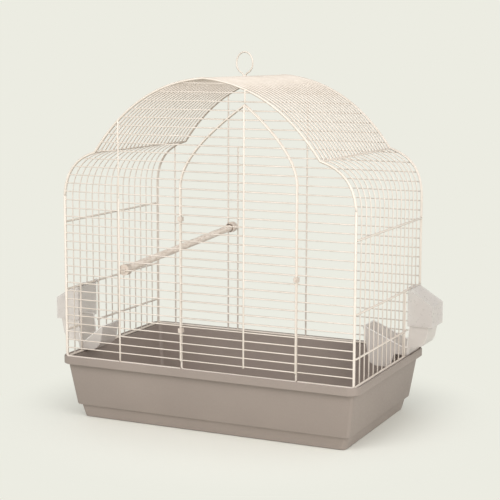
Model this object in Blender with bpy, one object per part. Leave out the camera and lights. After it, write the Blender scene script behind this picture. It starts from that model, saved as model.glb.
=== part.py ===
"""Bird cage: a wire body with a rounded roof that stands in a deep plastic tray.

Metres, +Z up, front towards -Y, the tray's base on Z = 0. Sizes are written in millimetres,
and heights marked "above the rim" count from the top of the tray's lip.
"""
import math

import bpy
from mathutils import Vector

MM = 0.001

# Overall sizes
BODY_HALF_X = 250.0
BODY_HALF_Y = 155.0
RIM_TOP = 105.0
SEAT_GAP = 0.3

# Wire sizes: a radius for round wire, a side for the fine square-cut wire
POST_R = 2.0
DOOR_FRAME_R = 1.5
LEAF_R = 1.4
RAIL_R = 1.6
ROW_SIDE = 1.8
UPRIGHT_SIDE = 2.6
SIDE_WIRE_SIDE = 1.8
KINK_ROD_R = 1.3
WELD = 0.5

# How many flat sides a round shape has
WIRE_SIDES = 6
SLEEVE_SIDES = 12
PERCH_SIDES = 16

# Tray: insets are measured inward from the outer face of the lip
LIP_OUT = 9.0
LIP_WIDE = 4.0
LIP_HIGH = 4.0
RIM_HIGH = 13.0
WALL = 3.0
WALL_TOP_INSET = 9.0
WALL_LOW_INSET = 19.0
STEP_Z = 22.5
STEP_IN = 5.0
FOOT_INSET = 28.0
FLOOR = 4.0
LIP_CORNER_R = 20.0
SEAT_CORNER_R = 10.0
WALL_CORNER_R = 10.0
INSIDE_CORNER_R = 8.0
EDGE_EASE = 0.8
FOOT_EASE = 3.0
STEP_SLOPE = 2.0

# Outline of the wire body, heights above the rim
SIDE_STRAIGHT_TOP = 255.0
SHOULDER_PULL_Z = 318.0
KINK_HALF_X = 192.5
KINK_Z = 334.0
DOME_PULL_X = 118.0
DOME_PULL_Z = 444.0
APEX_Z = 453.0
SHOULDER_STEPS = 5
DOME_STEPS = 7

# Rows and uprights of the front and the back, heights above the rim
FRONT_PITCH = 13.5
BACK_PITCH = 15.8
BACK_FIRST = 11.5
FRONT_UPRIGHT_X = -149.0
BACK_UPRIGHTS_X = (-215.0, -108.0, 43.0)
BACK_SHORT_X = -89.0
BACK_SHORT_TOP = 325.0
PANEL_SPLIT_Z = 263.0

# Pointed door, heights above the rim
DOOR_LEFT_X = -38.5
DOOR_RIGHT_X = 157.0
DOOR_APEX_X = 71.0
DOOR_APEX_Z = 414.0
DOOR_SPRING_LEFT_Z = 290.0
DOOR_SPRING_RIGHT_Z = 300.0
DOOR_PULL_IN = 5.0
DOOR_PULL_UP_LEFT = 52.0
DOOR_PULL_UP_RIGHT = 50.0
DOOR_STEPS = 8
LEAF_SHORTEST_ROW = 14.0
LEG_PAST_ROW = 1.5

# Clips and catch of the door
HINGE_ROWS = (4, 17)
CATCH_ROW = 11
CLIP_HIGH = 7.0
CLIP_WALL = 1.2
CLIP_BORE_GAP = 0.35
CATCH_TAB = 2.5
CATCH_TAB_THICK = 3.0
CATCH_TAB_HIGH = 6.0

# Sides, heights above the rim
SIDE_BAYS = 15
ROOF_BAYS = 23
SIDE_LOW_RAIL = 42.0
SIDE_MIDDLE_RAIL = 109.0
SIDE_HIGH_RAIL = 220.0
STILE_R = 1.6
STILE_CLEAR = 3.0
SHORTEST_ROW = 3.0
SHORTEST_BEND = 4.0

# Feeders: profiles are X outward from the side's wires and height above the rim
FEEDER_MIDDLE_Y = {"left": -83.0, "right": 107.0}
CUP_WALL = 2.0
CUP_HALF_Y = 26.0
CUP_TUB = {
    "left": ((-40.0, 43.0), (-37.0, 22.0), (-32.0, 9.0)),
    "right": ((-73.0, 43.0), (-63.0, -10.0), (-50.0, -22.0), (-24.0, -22.0)),
}
CUP_TROUGH = ((8.0, 13.0), (30.0, 17.0), (36.0, 29.0), (40.0, 52.0))
CUP_BRIDGE_IN = -18.5
CUP_BRIDGE_OUT = 5.0
CUP_NOTCH = ((8.0, 52.0), (4.0, 14.0), (-4.0, 14.0))
HOOD_WALL = 2.0
HOOD_SIDE_GAP = 0.5
HOOD_LOW = 50.0
HOOD_OUT = 47.0
HOOD_EAVE = 85.5
HOOD_BACK = 4.6
HOOD_RIDGE = 8.5
HOOD_TOP_UP = 0.5
HOOD_SLEEVE_R = 3.4
HOOD_SLEEVE_LONG = 6.0
HOOD_SLEEVE_OUT = 15.0
SLEEVE_GAP = 0.4

# Perch
PERCH_R = 6.0
PERCH_FRONT_X = -142.5
PERCH_BACK_X = -97.5
PERCH_FRONT_ROW = 11
PERCH_BACK_ROW = 11
CAP_WALL = 1.6
CAP_BORE_GAP = 1.4
CAP_LONG = 12.0
CAP_FLOOR = 3.0
CAP_LIP_HALF = 4.0
CAP_LIP_THICK = 2.1
CAP_LIP_PAST = 0.7

# Hanging ring
RING_HALF_X = 14.2
RING_HALF_Z = 17.2
RING_R = 1.3
RING_STEPS = 16
RING_SLEEVE_R = 3.2
RING_SLEEVE_LONG = 6.0
RING_SLEEVE_GAP = 0.5
RING_NECK = 0.8
RING_NECK_WIDE = 5.2
RING_WIRE = 11


def clear_scene():
    for thing in list(bpy.data.objects):
        bpy.data.objects.remove(thing, do_unlink=True)
    for mesh in list(bpy.data.meshes):
        bpy.data.meshes.remove(mesh)


def make_material(name, colour, roughness, metallic=0.0, alpha=1.0):
    made = bpy.data.materials.new(name)
    made.use_nodes = True
    shader = made.node_tree.nodes["Principled BSDF"]
    shader.inputs["Base Color"].default_value = (*colour, 1.0)
    shader.inputs["Roughness"].default_value = roughness
    shader.inputs["Metallic"].default_value = metallic
    shader.inputs["Alpha"].default_value = alpha
    return made


class Shape:
    """Corners and faces of one or more closed bodies, in millimetres."""

    def __init__(self):
        self.points = []
        self.faces = []

    def add(self, points, faces):
        start = len(self.points)
        self.points += [tuple(p) for p in points]
        self.faces += [tuple(start + i for i in face) for face in faces]

    def sweep(self, path, radius, sides, flat, closed=False):
        """A wire with flat faces along a path; `flat` is the normal of the plane that the path lies in."""
        path = [Vector(p) for p in path]
        flat = Vector(flat).normalized()
        count = len(path)
        points = []
        for i, here in enumerate(path):
            before = path[i - 1] if closed or i else None
            after = path[(i + 1) % count] if closed or i + 1 < count else None
            way_in = (here - before).normalized() if before is not None else (after - here).normalized()
            way_out = (after - here).normalized() if after is not None else way_in
            along = (way_in + way_out).normalized()
            across = along.cross(flat).normalized()
            stretch = 1.0 / along.dot(way_out)
            for k in range(sides):
                angle = 2.0 * math.pi * (k + 0.5) / sides
                off_plane = flat * (radius * math.cos(angle))
                points.append(here + off_plane + across * (radius * stretch * math.sin(angle)))
        faces = []
        for i in range(count if closed else count - 1):
            a, b = i * sides, ((i + 1) % count) * sides
            for k in range(sides):
                n = (k + 1) % sides
                faces.append((a + k, a + n, b + n, b + k))
        if not closed:
            faces.append(tuple(reversed(range(sides))))
            faces.append(tuple((count - 1) * sides + k for k in range(sides)))
        self.add(points, faces)

    def square(self, path, side):
        """A square wire along a path in a plane of constant Y."""
        self.sweep(path, side / math.sqrt(2.0), 4, (0.0, 1.0, 0.0))

    def box(self, low, high):
        (x0, y0, z0), (x1, y1, z1) = low, high
        points = [(x0, y0, z0), (x1, y0, z0), (x1, y1, z0), (x0, y1, z0),
                  (x0, y0, z1), (x1, y0, z1), (x1, y1, z1), (x0, y1, z1)]
        self.add(points, [(0, 3, 2, 1), (4, 5, 6, 7), (0, 1, 5, 4), (1, 2, 6, 5), (2, 3, 7, 6), (3, 0, 4, 7)])

    def prism(self, outline, low_y, high_y):
        """An outline in X and Z drawn out along Y."""
        count = len(outline)
        points = [(x, low_y, z) for x, z in outline] + [(x, high_y, z) for x, z in outline]
        faces = [tuple(range(count)), tuple(reversed(range(count, 2 * count)))]
        for i in range(count):
            n = (i + 1) % count
            faces.append((i, i + count, n + count, n))
        self.add(points, faces)

    def tube(self, start, end, radius, sides):
        start, end = Vector(start), Vector(end)
        way = (end - start).normalized()
        flat = Vector((0.0, 0.0, 1.0)) if abs(way.z) < 0.9 else Vector((0.0, 1.0, 0.0))
        self.sweep((start, end), radius, sides, flat - way * flat.dot(way))

    def made(self, name, material):
        mesh = bpy.data.meshes.new(name)
        mesh.from_pydata([(x * MM, y * MM, z * MM) for x, y, z in self.points], [], self.faces)
        volume = 0.0
        for polygon in mesh.polygons:
            corners = [mesh.vertices[i].co for i in polygon.vertices]
            for i in range(1, len(corners) - 1):
                volume += corners[0].dot(corners[i].cross(corners[i + 1]))
        if volume < 0.0:
            mesh.flip_normals()
        thing = bpy.data.objects.new(name, mesh)
        bpy.context.scene.collection.objects.link(thing)
        if material is not None:
            mesh.materials.append(material)
        return thing

    def tool(self, name):
        """The same shape as a hidden object for a Boolean."""
        thing = self.made(name, None)
        thing.hide_render = True
        thing.display_type = "WIRE"
        return thing


def combine(thing, other, operation):
    step = thing.modifiers.new(other.name, "BOOLEAN")
    step.operation = operation
    step.object = other
    other.parent = thing


def weld(thing, shape, name):
    combine(thing, shape.tool(thing.name + "_" + name), "UNION")


def cut(thing, shape, name):
    combine(thing, shape.tool(thing.name + "_" + name), "DIFFERENCE")


def set_origin(thing, origin):
    """Moves an object's origin to a point in millimetres and leaves its shape where it is."""
    move = Vector(origin) * MM
    for moved in [thing] + list(thing.children):
        for vertex in moved.data.vertices:
            vertex.co -= move
    thing.location = move


def bend(start, pull, end, steps):
    """Points of a curve that leaves `start` towards `pull` and reaches `end` from it."""
    found = []
    for i in range(steps + 1):
        t = i / steps
        a, b, c = (1 - t) ** 2, 2 * t * (1 - t), t * t
        found.append((a * start[0] + b * pull[0] + c * end[0], a * start[1] + b * pull[1] + c * end[1]))
    return found


def shoulder_line():
    """Half-width and height above the rim, from the straight side up to the kink."""
    return bend((BODY_HALF_X, SIDE_STRAIGHT_TOP), (BODY_HALF_X, SHOULDER_PULL_Z), (KINK_HALF_X, KINK_Z),
                SHOULDER_STEPS)


def dome_line():
    """Half-width and height above the rim, from the kink to the apex."""
    return bend((KINK_HALF_X, KINK_Z), (DOME_PULL_X, DOME_PULL_Z), (0.0, APEX_Z), DOME_STEPS)


def outline():
    """The whole outline above the straight sides, from left to right."""
    half = shoulder_line() + dome_line()[1:]
    return [(-x, z) for x, z in half] + [(x, z) for x, z in reversed(half[:-1])]


def between(points, value, given, wanted):
    """The `wanted` coordinate where a line of points passes a value of the `given` one, or None."""
    for a, b in zip(points, points[1:]):
        if min(a[given], b[given]) <= value <= max(a[given], b[given]) and a[given] != b[given]:
            return a[wanted] + (b[wanted] - a[wanted]) * (value - a[given]) / (b[given] - a[given])
    return None


def outline_half_width(height):
    if height <= SIDE_STRAIGHT_TOP:
        return BODY_HALF_X
    return between(shoulder_line() + dome_line()[1:], height, 1, 0)


def dome_height(x):
    return between(dome_line(), abs(x), 0, 1)


def distance_to(points, x, z):
    """How far a point in the plane lies from a line of points."""
    best = math.inf
    for (x0, z0), (x1, z1) in zip(points, points[1:]):
        dx, dz = x1 - x0, z1 - z0
        share = max(0.0, min(1.0, ((x - x0) * dx + (z - z0) * dz) / (dx * dx + dz * dz)))
        best = min(best, math.hypot(x - x0 - share * dx, z - z0 - share * dz))
    return best


def arch():
    """The left and the right curve of the pointed doorway, each from its spring line to the apex."""
    apex = (DOOR_APEX_X, DOOR_APEX_Z)
    left = bend((DOOR_LEFT_X, DOOR_SPRING_LEFT_Z),
                (DOOR_LEFT_X + DOOR_PULL_IN, DOOR_SPRING_LEFT_Z + DOOR_PULL_UP_LEFT), apex, DOOR_STEPS)
    right = bend((DOOR_RIGHT_X, DOOR_SPRING_RIGHT_Z),
                 (DOOR_RIGHT_X - DOOR_PULL_IN, DOOR_SPRING_RIGHT_Z + DOOR_PULL_UP_RIGHT), apex, DOOR_STEPS)
    return left, right


def doorway_line(low_z, y):
    """From the foot of the doorway's left leg over its point to the foot of the right one, above the ground."""
    left, right = arch()
    points = [(DOOR_LEFT_X, y, low_z)] + [(x, y, up(z)) for x, z in left]
    return points + [(x, y, up(z)) for x, z in reversed(right[:-1])] + [(DOOR_RIGHT_X, y, low_z)]


def up(height):
    """A height above the rim as a height above the ground."""
    return RIM_TOP + height


LEDGE_TOP = RIM_TOP - LIP_HIGH
BASE_Z = LEDGE_TOP + SEAT_GAP + POST_R
FRONT_Y = -BODY_HALF_Y
BACK_Y = BODY_HALF_Y
UPRIGHT_OUT = (ROW_SIDE + UPRIGHT_SIDE) / 2.0 - WELD
SIDE_END_Y = BODY_HALF_Y - POST_R - SEAT_GAP - SIDE_WIRE_SIDE / 2.0
SIDE_PITCH = 2.0 * SIDE_END_Y / SIDE_BAYS
SIDE_RAIL_OUT = SIDE_WIRE_SIDE / 2.0 + RAIL_R - WELD
SPLIT_X = DOOR_APEX_X + UPRIGHT_SIDE / 2.0 + POST_R
LEAF_Y = FRONT_Y - DOOR_FRAME_R - SEAT_GAP - LEAF_R
LEAF_LOW_Z = up(FRONT_PITCH) - LEG_PAST_ROW


def front_row_z(k):
    return k * FRONT_PITCH


def back_row_z(k):
    return BACK_FIRST + k * BACK_PITCH


def wire_y(k, bays):
    """Where wire k runs, of those that part the depth into equal bays."""
    return -SIDE_END_Y + 2.0 * SIDE_END_Y * k / bays


def rounded(half_x, half_y, radius, z, steps=5):
    """A rectangle with rounded corners at one height."""
    found = []
    for (sx, sy), start in zip(((1, 1), (-1, 1), (-1, -1), (1, -1)), (0.0, 0.5, 1.0, 1.5)):
        for i in range(steps + 1):
            angle = math.pi * (start + 0.5 * i / steps)
            x = sx * (half_x - radius) + radius * math.cos(angle)
            y = sy * (half_y - radius) + radius * math.sin(angle)
            found.append((x, y, z))
    return found


def build_tray(material):
    """One moulding: foot band, step, tapering wall, rim and lip."""
    outer_x, outer_y = BODY_HALF_X + LIP_OUT, BODY_HALF_Y + LIP_OUT
    rim_low = RIM_TOP - RIM_HIGH
    foot_in = FOOT_INSET + WALL
    lip, seat, wall, inside = LIP_CORNER_R, SEAT_CORNER_R, WALL_CORNER_R, INSIDE_CORNER_R
    rings = [
        (FOOT_INSET + FOOT_EASE, 0.0, wall), (FOOT_INSET + EDGE_EASE, EDGE_EASE, wall),
        (FOOT_INSET, FOOT_EASE, wall), (WALL_LOW_INSET + STEP_IN, STEP_Z - STEP_SLOPE, wall),
        (WALL_LOW_INSET, STEP_Z, wall), (WALL_TOP_INSET, rim_low, wall),
        (EDGE_EASE, rim_low, lip), (0.0, rim_low + EDGE_EASE, lip), (0.0, RIM_TOP - EDGE_EASE, lip),
        (EDGE_EASE, RIM_TOP, lip), (LIP_WIDE - EDGE_EASE, RIM_TOP, seat + EDGE_EASE),
        (LIP_WIDE, RIM_TOP - EDGE_EASE, seat), (LIP_WIDE, LEDGE_TOP, seat),
        (WALL_TOP_INSET + WALL, LEDGE_TOP, inside), (WALL_LOW_INSET + WALL, STEP_Z + EDGE_EASE, inside),
        (WALL_LOW_INSET + STEP_IN + WALL, STEP_Z - STEP_SLOPE + EDGE_EASE, inside),
        (foot_in, FLOOR + FOOT_EASE, inside), (foot_in + FOOT_EASE, FLOOR, inside),
    ]
    points, faces = [], []
    for inset, z, radius in rings:
        points += rounded(outer_x - inset, outer_y - inset, radius, z)
    count = len(points) // len(rings)
    for i in range(len(rings) - 1):
        for k in range(count):
            n = (k + 1) % count
            faces.append((i * count + k, i * count + n, (i + 1) * count + n, (i + 1) * count + k))
    faces.append(tuple(reversed(range(count))))
    faces.append(tuple((len(rings) - 1) * count + k for k in range(count)))
    shape = Shape()
    shape.add(points, faces)
    return shape.made("base_tray", material)


def weld_upright(panel, x, y, low_z, high_z, name):
    bar = Shape()
    bar.square(((x, y, low_z), (x, y, high_z)), UPRIGHT_SIDE)
    weld(panel, bar, name)


def build_front_lower(material, sign):
    """One corner post, the base wire as far as the doorway, and the rows between them."""
    name = "front_left_panel" if sign < 0 else "front_right_panel"
    door_x = DOOR_LEFT_X if sign < 0 else DOOR_RIGHT_X
    near = door_x + sign * (DOOR_FRAME_R + SEAT_GAP)
    post_x = sign * BODY_HALF_X
    frame = Shape()
    frame.sweep(((near, FRONT_Y, BASE_Z), (post_x, FRONT_Y, BASE_Z), (post_x, FRONT_Y, up(PANEL_SPLIT_Z))),
                POST_R, WIRE_SIDES, (0.0, 1.0, 0.0))
    panel = frame.made(name, material)
    rows = Shape()
    k = 1
    while front_row_z(k) < PANEL_SPLIT_Z - ROW_SIDE:
        z = up(front_row_z(k))
        rows.square(((near, FRONT_Y, z), (post_x, FRONT_Y, z)), ROW_SIDE)
        k += 1
    weld(panel, rows, "rows")
    if sign < 0:
        weld_upright(panel, FRONT_UPRIGHT_X, FRONT_Y - UPRIGHT_OUT, BASE_Z, up(PANEL_SPLIT_Z), "upright")
    return panel


def row_end(curve, height, sign):
    """Where a row beside the doorway ends, clear of the doorway's wire, or None where it runs past."""
    clear = DOOR_FRAME_R + SEAT_GAP + ROW_SIDE / 2.0
    stop = SPLIT_X + sign * SEAT_GAP / 2.0
    x = outline_half_width(height) * sign
    step = 0.25
    leg = [(curve[0][0], 0.0)] + curve
    while sign * (x - stop) > 0.0:
        if distance_to(leg, x, height) < clear:
            return x + sign * step
        x -= sign * step
    return stop


def build_front_upper(material, sign):
    """The outline from one shoulder to above the doorway's point, and the rows inside it."""
    name = "front_upper_left_panel" if sign < 0 else "front_upper_right_panel"
    end_x = SPLIT_X + sign * SEAT_GAP / 2.0
    foot = up(PANEL_SPLIT_Z + SEAT_GAP)
    path = [(x, FRONT_Y, up(z)) for x, z in outline()
            if sign * (x - end_x) > SHORTEST_BEND and up(z) > foot + SHORTEST_BEND]
    if sign < 0:
        path = [(-BODY_HALF_X, FRONT_Y, foot)] + path + [(end_x, FRONT_Y, up(dome_height(end_x)))]
    else:
        path = [(end_x, FRONT_Y, up(dome_height(end_x)))] + path + [(BODY_HALF_X, FRONT_Y, foot)]
    frame = Shape()
    frame.sweep(path, POST_R, WIRE_SIDES, (0.0, 1.0, 0.0))
    panel = frame.made(name, material)
    curve = arch()[0 if sign < 0 else 1]
    rows = Shape()
    k = int(PANEL_SPLIT_Z // FRONT_PITCH) + 1
    while front_row_z(k) < APEX_Z - 2.0 * POST_R:
        height = front_row_z(k)
        far = sign * outline_half_width(height)
        near = row_end(curve, height, sign)
        if sign < 0:
            near = min(near, -far)
        if sign * (far - near) > SHORTEST_ROW:
            rows.square(((near, FRONT_Y, up(height)), (far, FRONT_Y, up(height))), ROW_SIDE)
        k += 1
    weld(panel, rows, "rows")
    if sign < 0:
        y = FRONT_Y - UPRIGHT_OUT
        weld_upright(panel, FRONT_UPRIGHT_X, y, foot, up(dome_height(FRONT_UPRIGHT_X)), "upright")
        over_door = up(DOOR_APEX_Z) + 2.0 * DOOR_FRAME_R + SEAT_GAP
        weld_upright(panel, DOOR_APEX_X, y, over_door, up(dome_height(DOOR_APEX_X)), "middle")
    return panel


def build_door_frame(material):
    shape = Shape()
    shape.sweep(doorway_line(BASE_Z, FRONT_Y), DOOR_FRAME_R, WIRE_SIDES, (0.0, 1.0, 0.0), closed=True)
    return shape.made("door_frame", material)


def build_door(material):
    """The leaf, which lies in front of the frame and ends at its lowest row; its origin is where its left leg turns."""
    frame = Shape()
    frame.sweep(doorway_line(LEAF_LOW_Z, LEAF_Y), LEAF_R, WIRE_SIDES, (0.0, 1.0, 0.0))
    door = frame.made("front_door", material)
    left, right = arch()
    rows = Shape()
    for k in range(1, int(DOOR_APEX_Z // FRONT_PITCH) + 1):
        height = front_row_z(k)
        start = DOOR_LEFT_X if height <= DOOR_SPRING_LEFT_Z else between(left, height, 1, 0)
        end = DOOR_RIGHT_X if height <= DOOR_SPRING_RIGHT_Z else between(right, height, 1, 0)
        if start is not None and end is not None and end - start > LEAF_SHORTEST_ROW:
            rows.square(((start, LEAF_Y, up(height)), (end, LEAF_Y, up(height))), ROW_SIDE)
    weld(door, rows, "rows")
    weld_upright(door, DOOR_APEX_X, LEAF_Y - UPRIGHT_OUT, LEAF_LOW_Z, up(DOOR_APEX_Z), "upright")
    set_origin(door, (DOOR_LEFT_X, LEAF_Y, BASE_Z))
    return door


def between_rows_z(row):
    return up(front_row_z(row) + FRONT_PITCH / 2.0)


def clip_block(x, z, name, material):
    """A block round a leg of the frame and the leaf's leg in front of it, with the leaf's leg bored out."""
    wide = DOOR_FRAME_R + CLIP_BORE_GAP + CLIP_WALL
    front = LEAF_Y - LEAF_R - CLIP_BORE_GAP - CLIP_WALL
    block = Shape()
    block.box((x - wide, front, z - CLIP_HIGH / 2.0), (x + wide, FRONT_Y + wide, z + CLIP_HIGH / 2.0))
    clip = block.made(name, material)
    cut_bore(clip, x, LEAF_Y, z, LEAF_R, "edge")
    return clip, front


def cut_bore(thing, x, y, z, radius, name):
    bore = Shape()
    bore.tube((x, y, z - CLIP_HIGH), (x, y, z + CLIP_HIGH), radius + CLIP_BORE_GAP, SLEEVE_SIDES)
    cut(thing, bore, name)


def build_hinge_clip(material, name, row):
    """A clip held on the frame's left leg, in which the leaf's leg turns."""
    z = between_rows_z(row)
    clip, front = clip_block(DOOR_LEFT_X, z, name, material)
    cut_bore(clip, DOOR_LEFT_X, FRONT_Y, z, DOOR_FRAME_R, "leg")
    return clip


def build_catch(material):
    """A fork on the leaf's free leg that snaps over the frame's right leg, with a finger tab."""
    z = between_rows_z(CATCH_ROW)
    catch, front = clip_block(DOOR_RIGHT_X, z, "door_catch", material)
    tab = Shape()
    tab.box((DOOR_RIGHT_X - CATCH_TAB_THICK / 2.0, front - CATCH_TAB, z - CATCH_TAB_HIGH / 2.0),
            (DOOR_RIGHT_X + CATCH_TAB_THICK / 2.0, front + WELD, z + CATCH_TAB_HIGH / 2.0))
    weld(catch, tab, "tab")
    half = DOOR_FRAME_R + CLIP_BORE_GAP
    slot = Shape()
    slot.box((DOOR_RIGHT_X - half, FRONT_Y - half, z - CLIP_HIGH),
             (DOOR_RIGHT_X + half, FRONT_Y + 4.0 * half, z + CLIP_HIGH))
    cut(catch, slot, "slot")
    return catch


def build_back(material):
    frame = Shape()
    path = [(-BODY_HALF_X, BACK_Y, BASE_Z)] + [(x, BACK_Y, up(z)) for x, z in outline()]
    frame.sweep(path + [(BODY_HALF_X, BACK_Y, BASE_Z)], POST_R, WIRE_SIDES, (0.0, 1.0, 0.0), closed=True)
    back = frame.made("back_grille", material)
    rows = Shape()
    k = 0
    while back_row_z(k) < APEX_Z - 2.0 * POST_R:
        wide = outline_half_width(back_row_z(k))
        rows.square(((-wide, BACK_Y, up(back_row_z(k))), (wide, BACK_Y, up(back_row_z(k)))), ROW_SIDE)
        k += 1
    weld(back, rows, "rows")
    y = BACK_Y + UPRIGHT_OUT
    for i, x in enumerate(BACK_UPRIGHTS_X):
        top = between(shoulder_line() + dome_line()[1:], abs(x), 0, 1)
        weld_upright(back, x, y, BASE_Z, up(top), "upright_%d" % i)
    weld_upright(back, BACK_SHORT_X, y, BASE_Z, up(BACK_SHORT_TOP), "short")
    return back


def side_top():
    """The centre of the side's top rod, beside the roof's own rod at the kink."""
    way = Vector((BODY_HALF_X - KINK_HALF_X, SHOULDER_PULL_Z - KINK_Z)).normalized()
    reach = 2.0 * KINK_ROD_R + SEAT_GAP
    return KINK_HALF_X + way.x * reach, KINK_Z + way.y * reach


def run_rods(grille, x_sign, runs, name):
    """Rods and rails along the depth: X, height, radius, and where each starts and ends."""
    rods = Shape()
    for x, z, radius, low_y, high_y in runs:
        rods.sweep(((x_sign * x, low_y, z), (x_sign * x, high_y, z)), radius, WIRE_SIDES, (1.0, 0.0, 0.0))
    weld(grille, rods, name)


def build_side(material, word):
    """Upright wires with their base rod and rails, and two stiles beside the feeder, over which they start at a rail."""
    x_sign = -1 if word == "left" else 1
    middle = FEEDER_MIDDLE_Y[word]
    stile = CUP_HALF_Y + HOOD_SIDE_GAP + STILE_R
    cleared = stile + STILE_R + SIDE_WIRE_SIDE / 2.0 + STILE_CLEAR
    top = up(SIDE_STRAIGHT_TOP) - SEAT_GAP
    side_x = x_sign * BODY_HALF_X
    wires = Shape()
    for k in range(SIDE_BAYS + 1):
        y = wire_y(k, SIDE_BAYS)
        over_feeder = abs(y - middle) < cleared and 0 < k < SIDE_BAYS
        low = up(SIDE_MIDDLE_RAIL) if over_feeder else BASE_Z
        wires.square(((side_x, y, low), (side_x, y, top)), SIDE_WIRE_SIDE)
    grille = wires.made(word + "_side_grille", material)
    rail_x = BODY_HALF_X + SIDE_RAIL_OUT
    run_rods(grille, x_sign, [
        (BODY_HALF_X, BASE_Z, POST_R, -SIDE_END_Y, SIDE_END_Y),
        (rail_x, up(SIDE_MIDDLE_RAIL), RAIL_R, -SIDE_END_Y, SIDE_END_Y),
        (rail_x, up(SIDE_HIGH_RAIL), RAIL_R, -SIDE_END_Y, SIDE_END_Y),
        (rail_x, up(SIDE_LOW_RAIL), RAIL_R, -SIDE_END_Y, middle - stile),
        (rail_x, up(SIDE_LOW_RAIL), RAIL_R, middle + stile, SIDE_END_Y),
    ], "rails")
    stiles = Shape()
    for y in (middle - stile, middle + stile):
        stiles.sweep(((side_x, y, BASE_Z), (side_x, y, up(SIDE_MIDDLE_RAIL))), STILE_R, WIRE_SIDES, (0.0, 1.0, 0.0))
    weld(grille, stiles, "stiles")
    return grille


def build_shoulder(material, word):
    """Bent wires that stand on the side's wires and end on a rod beside the roof's."""
    x_sign = -1 if word == "left" else 1
    top_x, top_z = side_top()
    line = [(BODY_HALF_X, SIDE_STRAIGHT_TOP)] + shoulder_line()[1:-1] + [(top_x, top_z)]
    wires = Shape()
    for k in range(SIDE_BAYS + 1):
        wires.square([(x_sign * x, wire_y(k, SIDE_BAYS), up(z)) for x, z in line], SIDE_WIRE_SIDE)
    grille = wires.made(word + "_shoulder_grille", material)
    run_rods(grille, x_sign, [(top_x, up(top_z), KINK_ROD_R, -SIDE_END_Y, SIDE_END_Y)], "rod")
    return grille


def build_roof(material):
    dome = dome_line()
    across = [(-x, z) for x, z in dome] + [(x, z) for x, z in reversed(dome[:-1])]
    wires = Shape()
    for k in range(ROOF_BAYS + 1):
        wires.square([(x, wire_y(k, ROOF_BAYS), up(z)) for x, z in across], SIDE_WIRE_SIDE)
    roof = wires.made("roof_grille", material)
    for x_sign in (-1, 1):
        run_rods(roof, x_sign, [(KINK_HALF_X, up(KINK_Z), KINK_ROD_R, -SIDE_END_Y, SIDE_END_Y)], "rod_%d" % x_sign)
    return roof


def build_ring(material):
    """The carrying ring, whose crossed ends turn on a middle wire of the roof."""
    apex, y = up(APEX_Z), wire_y(RING_WIRE, ROOF_BAYS)
    centre_z = apex + RING_SLEEVE_R + RING_NECK + RING_R + RING_HALF_Z
    path = []
    for i in range(RING_STEPS):
        angle = 2.0 * math.pi * i / RING_STEPS
        path.append((RING_HALF_X * math.sin(angle), y, centre_z - RING_HALF_Z * math.cos(angle)))
    loop = Shape()
    loop.sweep(path, RING_R, WIRE_SIDES, (0.0, 1.0, 0.0), closed=True)
    ring = loop.made("hanging_ring", material)
    neck = Shape()
    neck.box((-RING_NECK_WIDE / 2.0, y - RING_R, apex + RING_SLEEVE_R - WELD),
             (RING_NECK_WIDE / 2.0, y + RING_R, centre_z - RING_HALF_Z + WELD))
    weld(ring, neck, "neck")
    half = RING_SLEEVE_LONG / 2.0
    sleeve = Shape()
    sleeve.tube((-half, y, apex), (half, y, apex), RING_SLEEVE_R, SLEEVE_SIDES)
    weld(ring, sleeve, "sleeve")
    bore = Shape()
    bore_r = SIDE_WIRE_SIDE / math.sqrt(2.0) + RING_SLEEVE_GAP
    bore.tube((-2.0 * half, y, apex), (2.0 * half, y, apex), bore_r, SLEEVE_SIDES)
    cut(ring, bore, "bore")
    set_origin(ring, (0.0, y, apex))
    return ring


def inner_line(points, wall):
    """A line of points moved sideways by a wall, to the left of its way."""
    moved = []
    for i, (x, z) in enumerate(points):
        here = Vector((x, z))
        way_in = (here - Vector(points[i - 1])).normalized() if i else None
        way_out = (Vector(points[i + 1]) - here).normalized() if i + 1 < len(points) else way_in
        way_in = way_in or way_out
        along = (way_in + way_out).normalized()
        reach = wall / along.dot(way_out)
        moved.append((x - along.y * reach, z + along.x * reach))
    return moved


def beside(points, x_sign):
    """A profile given outward from the side's wires and above the rim, in the part's own place."""
    return [(x_sign * (BODY_HALF_X + x), up(z)) for x, z in points]


def build_cup(material, word):
    """A trough that reaches through the side: a tub inside, deep on the right, and a spout outside to fill it from."""
    x_sign = -1 if word == "left" else 1
    y = FEEDER_MIDDLE_Y[word]
    bridge = BASE_Z + POST_R + SEAT_GAP - RIM_TOP
    under = CUP_TUB[word] + ((CUP_BRIDGE_IN, bridge), (CUP_BRIDGE_OUT, bridge)) + CUP_TROUGH
    outer = Shape()
    outer.prism(beside(under + CUP_NOTCH, x_sign), y - CUP_HALF_Y, y + CUP_HALF_Y)
    cup = outer.made("feeder_cup_" + word, material)
    over = 2.0 * CUP_NOTCH[0][1]
    inside = inner_line(under, CUP_WALL)
    inside = [(inside[0][0], over)] + inside + [(inside[-1][0], over)]
    inner = Shape()
    inner.prism(beside(inside, x_sign), y - CUP_HALF_Y + CUP_WALL, y + CUP_HALF_Y - CUP_WALL)
    cut(cup, inner, "hollow")
    return cup


def bay_middle(y):
    """The middle of the side's bay nearest to a place, so that a sleeve there clears the wires."""
    return -SIDE_END_Y + (math.floor((y + SIDE_END_Y) / SIDE_PITCH) + 0.5) * SIDE_PITCH


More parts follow.
